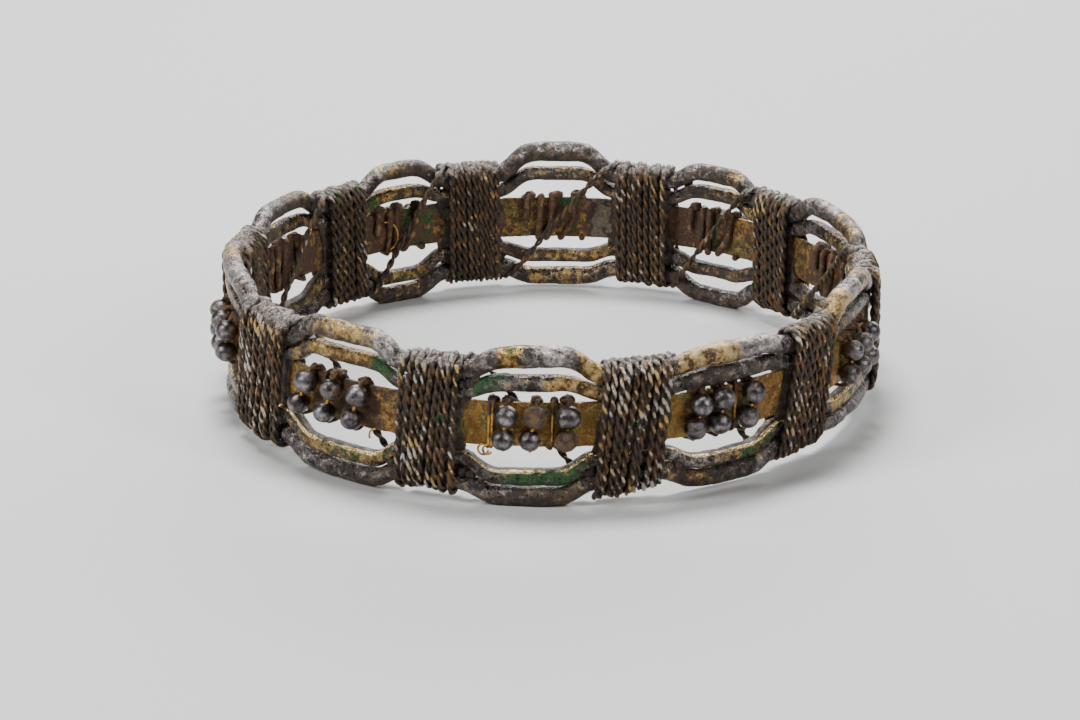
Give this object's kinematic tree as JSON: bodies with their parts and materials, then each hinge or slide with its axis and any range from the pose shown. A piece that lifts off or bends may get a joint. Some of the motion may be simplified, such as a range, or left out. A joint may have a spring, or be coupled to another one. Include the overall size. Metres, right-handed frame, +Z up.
{
  "type": "bracelet",
  "caption": "Ancient openwork bangle of metal rods and a gilded band, bound by twisted-wire wrappings, with silver beads laced in the windows between them.",
  "frame": {"origin": "on the hoop's axis, at the level of the lowest feet it lies on", "axes": "+Z up along the hoop's axis, -Y towards the front window of the picture, +X to the right seen from there"},
  "size_m": [0.0681, 0.0686, 0.0163],
  "materials": {
    "rod_silver": "corroded gilded silver, mottled grey, ochre and green",
    "band_gilding": "worn gilding over silver, with earth and green patches",
    "wire_silver": "dark tarnished twisted wire with bright crests",
    "bead_silver": "dull polished silver with dark pits"
  },
  "bodies": {
    "root": {"rod_upper_outer": "rod_silver", "rod_upper_inner": "rod_silver", "rod_lower_inner": "rod_silver", "rod_lower_outer": "rod_silver", "band": "band_gilding", "wire_wrap_01": "wire_silver", "wire_wrap_02": "wire_silver", "wire_wrap_03": "wire_silver", "wire_wrap_04": "wire_silver", "wire_wrap_05": "wire_silver", "wire_wrap_06": "wire_silver", "wire_wrap_07": "wire_silver", "wire_wrap_08": "wire_silver", "wire_wrap_09": "wire_silver", "wire_wrap_10": "wire_silver", "bead_row_01": "bead_silver", "bead_row_02": "bead_silver", "bead_row_03": "bead_silver", "bead_row_04": "bead_silver", "bead_row_05": "bead_silver", "bead_row_06": "bead_silver", "bead_row_07": "bead_silver", "bead_row_08": "bead_silver", "bead_row_09": "bead_silver", "bead_row_10": "bead_silver"}
  },
  "joints": []
}
